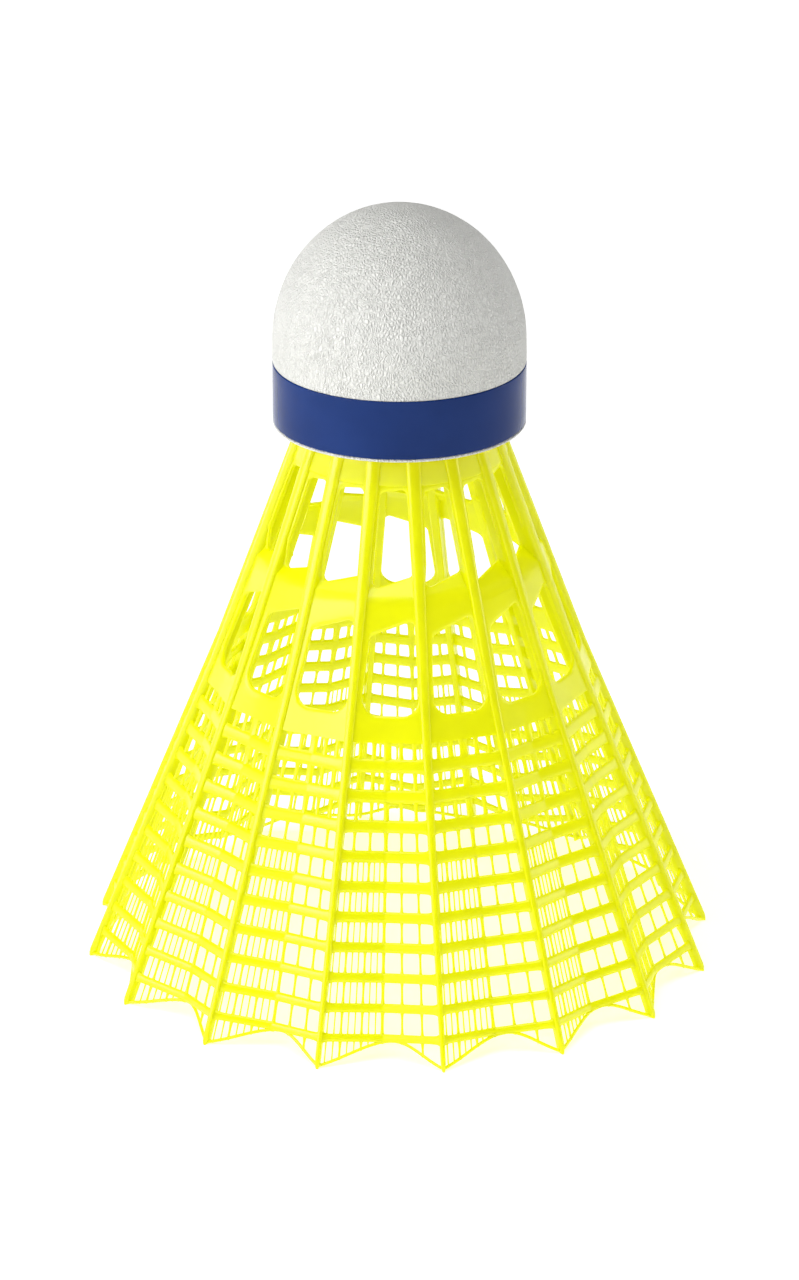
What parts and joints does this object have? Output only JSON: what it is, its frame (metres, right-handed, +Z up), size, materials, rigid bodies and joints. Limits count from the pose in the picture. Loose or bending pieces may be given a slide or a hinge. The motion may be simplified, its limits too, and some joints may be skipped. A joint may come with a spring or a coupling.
{
  "type": "badminton shuttlecock",
  "caption": "Nylon badminton shuttlecock: an open ribbed and netted skirt that flares from a covered cork head with a coloured band.",
  "frame": {"origin": "centre of the circle of rib tips, on the plane the shuttlecock stands on", "axes": "+Z up along the shuttlecock's axis from the skirt to the cork head, +X through a rib"},
  "size_m": [0.066, 0.066, 0.0805],
  "materials": {
    "cork": "pressed cork granules",
    "cover": "matte off-white synthetic leather with a fine grain",
    "band": "glossy royal blue tape",
    "skirt": "translucent fluorescent lemon yellow nylon, lightly glossy"
  },
  "bodies": {
    "root": {"cork_core": "cork", "head_cover": "cover", "head_band": "band", "skirt_spigot": "skirt", "skirt_collar": "skirt", "skirt_ribs": "skirt", "skirt_vanes": "skirt", "skirt_ring_band": "skirt", "skirt_mesh": "skirt"}
  },
  "joints": []
}
